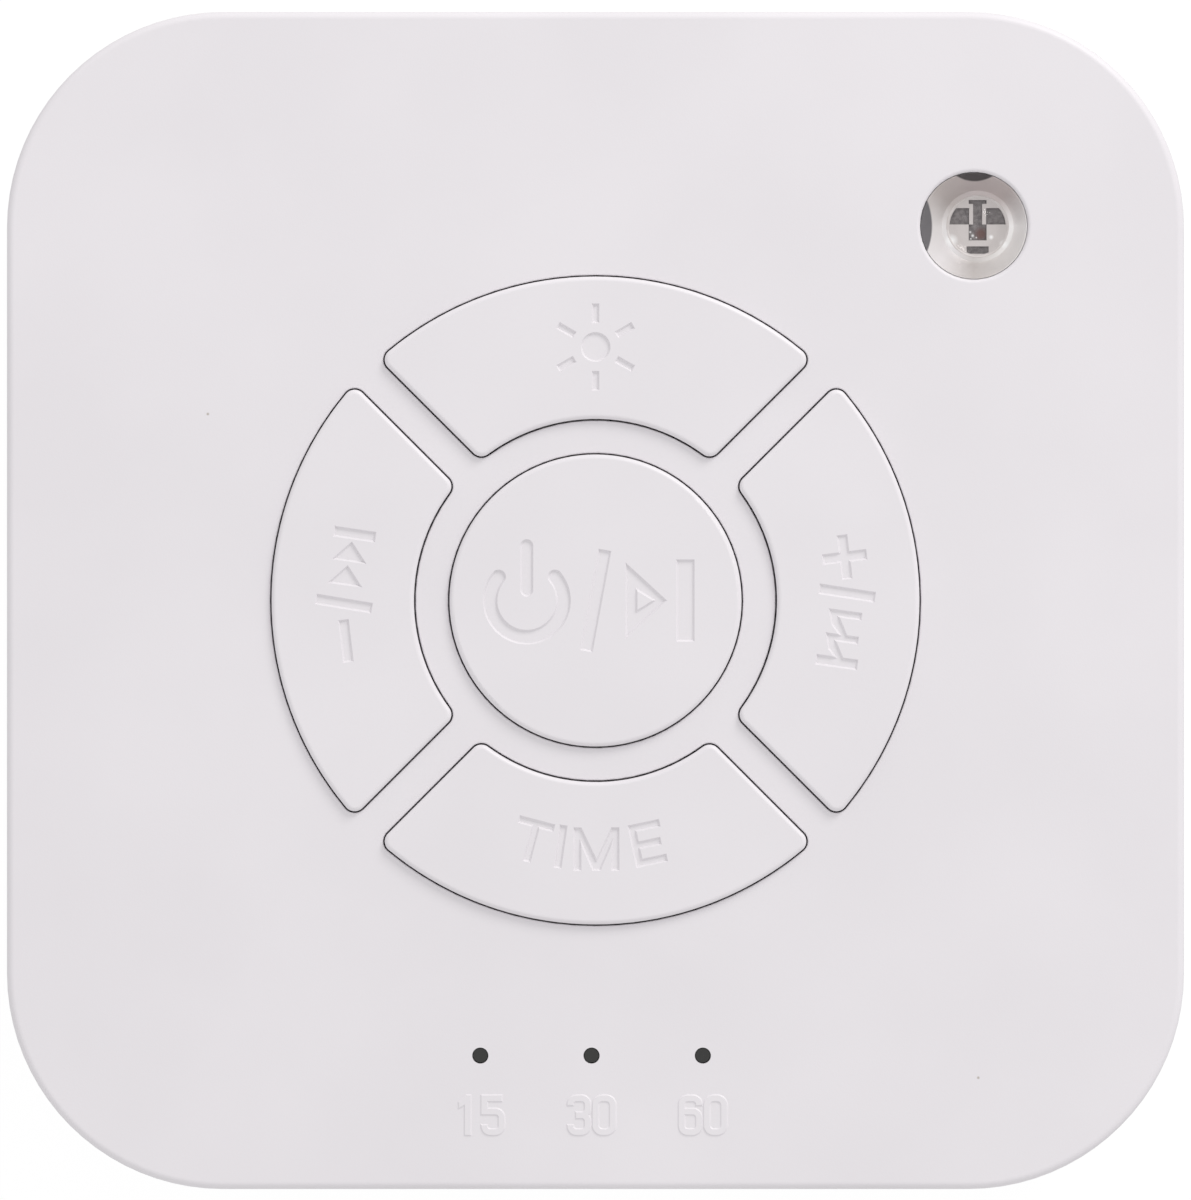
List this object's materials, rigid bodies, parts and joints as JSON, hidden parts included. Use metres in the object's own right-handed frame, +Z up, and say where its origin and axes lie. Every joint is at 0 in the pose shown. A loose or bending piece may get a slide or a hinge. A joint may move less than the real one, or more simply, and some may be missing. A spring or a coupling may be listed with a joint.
{
  "type": "white noise sound machine",
  "caption": "Square rounded desktop sound machine with a ring of engraved push buttons round a central one, timer lights and a small night light on its top face.",
  "frame": {"origin": "centre of the footprint, on the surface that the rubber feet stand on", "axes": "+Z up through the buttons, +Y to the back where the sockets are, +X right as the legends are read"},
  "size_m": [0.096, 0.096, 0.0526],
  "materials": {
    "white_housing": "satin",
    "white_buttons": "satin",
    "rubber": "matt",
    "screw_steel": "zinc plated",
    "tinned_steel": "tin plated",
    "black_plastic": "moulded",
    "circuit_board": "green solder mask",
    "lamp_package": "moulded",
    "clear_plastic": "clear",
    "bright_cup": "bright metallised",
    "gold_contacts": "plated",
    "capacitor_can": "sleeved",
    "ferrite": "sintered",
    "cloth": "woven",
    "foam": "closed cell foam",
    "basket_steel": "black coated",
    "plated_steel": "zinc plated",
    "copper_winding": "enamelled",
    "paper_cone": "pressed paper",
    "cell_can": "nickel plated",
    "cell_sleeve": "shrunk film",
    "wire_insulation": "extruded",
    "ribbon_insulation": "extruded"
  },
  "bodies": {
    "housing": {"top_shell": "white_housing", "base_shell": "white_housing", "rubber_feet": "rubber", "case_screws": "screw_steel", "switch_housings": "black_plastic", "switch_covers": "tinned_steel", "switch_domes": "tinned_steel", "switch_pins": "tinned_steel", "control_board": "circuit_board", "control_board_screws": "screw_steel", "indicator_leds": "lamp_package", "indicator_light_guide": "clear_plastic", "reflector_cup": "bright_cup", "night_light_lens": "clear_plastic", "night_light_leadframe": "tinned_steel", "main_board": "circuit_board", "main_board_screws": "screw_steel", "usb_socket_shell": "tinned_steel", "usb_socket_tongue": "black_plastic", "headphone_jack": "black_plastic", "board_connectors": "lamp_package", "circuit_chips": "black_plastic", "capacitors": "capacitor_can", "inductor": "ferrite", "grille_cloth": "cloth", "speaker_gasket": "foam", "speaker_basket": "basket_steel", "speaker_front_plate": "plated_steel", "speaker_magnet": "ferrite", "speaker_yoke": "plated_steel", "speaker_voice_coil": "copper_winding", "speaker_spider": "cloth", "speaker_cone": "paper_cone", "speaker_surround": "foam", "speaker_dust_cap": "paper_cone", "speaker_terminals": "gold_contacts", "speaker_screws": "screw_steel", "battery_cell": "cell_can", "battery_sleeve": "cell_sleeve", "battery_protection_board": "circuit_board", "battery_foam_pad": "foam", "battery_leads": "wire_insulation", "speaker_leads": "wire_insulation", "board_link_cable": "ribbon_insulation"},
    "body_power_play": {"button_power_play": "white_buttons", "switch_plunger_power_play": "black_plastic"},
    "body_light": {"button_light": "white_buttons", "switch_plunger_light": "black_plastic"},
    "body_previous_volume_down": {"button_previous_volume_down": "white_buttons", "switch_plunger_previous_volume_down": "black_plastic"},
    "body_timer": {"button_timer": "white_buttons", "switch_plunger_timer": "black_plastic"},
    "body_mode_volume_up": {"button_mode_volume_up": "white_buttons", "switch_plunger_mode_volume_up": "black_plastic"}
  },
  "joints": [
    {"name": "press_power_play", "type": "slide", "parent": "housing", "child": "body_power_play", "axis": [0, 0, 1], "range_m": [-0.0004, 0], "stiffness_N_per_m": 3000},
    {"name": "press_light", "type": "slide", "parent": "housing", "child": "body_light", "axis": [0, 0, 1], "range_m": [-0.0004, 0], "stiffness_N_per_m": 3000},
    {"name": "press_previous_volume_down", "type": "slide", "parent": "housing", "child": "body_previous_volume_down", "axis": [0, 0, 1], "range_m": [-0.0004, 0], "stiffness_N_per_m": 3000},
    {"name": "press_timer", "type": "slide", "parent": "housing", "child": "body_timer", "axis": [0, 0, 1], "range_m": [-0.0004, 0], "stiffness_N_per_m": 3000},
    {"name": "press_mode_volume_up", "type": "slide", "parent": "housing", "child": "body_mode_volume_up", "axis": [0, 0, 1], "range_m": [-0.0004, 0], "stiffness_N_per_m": 3000}
  ]
}
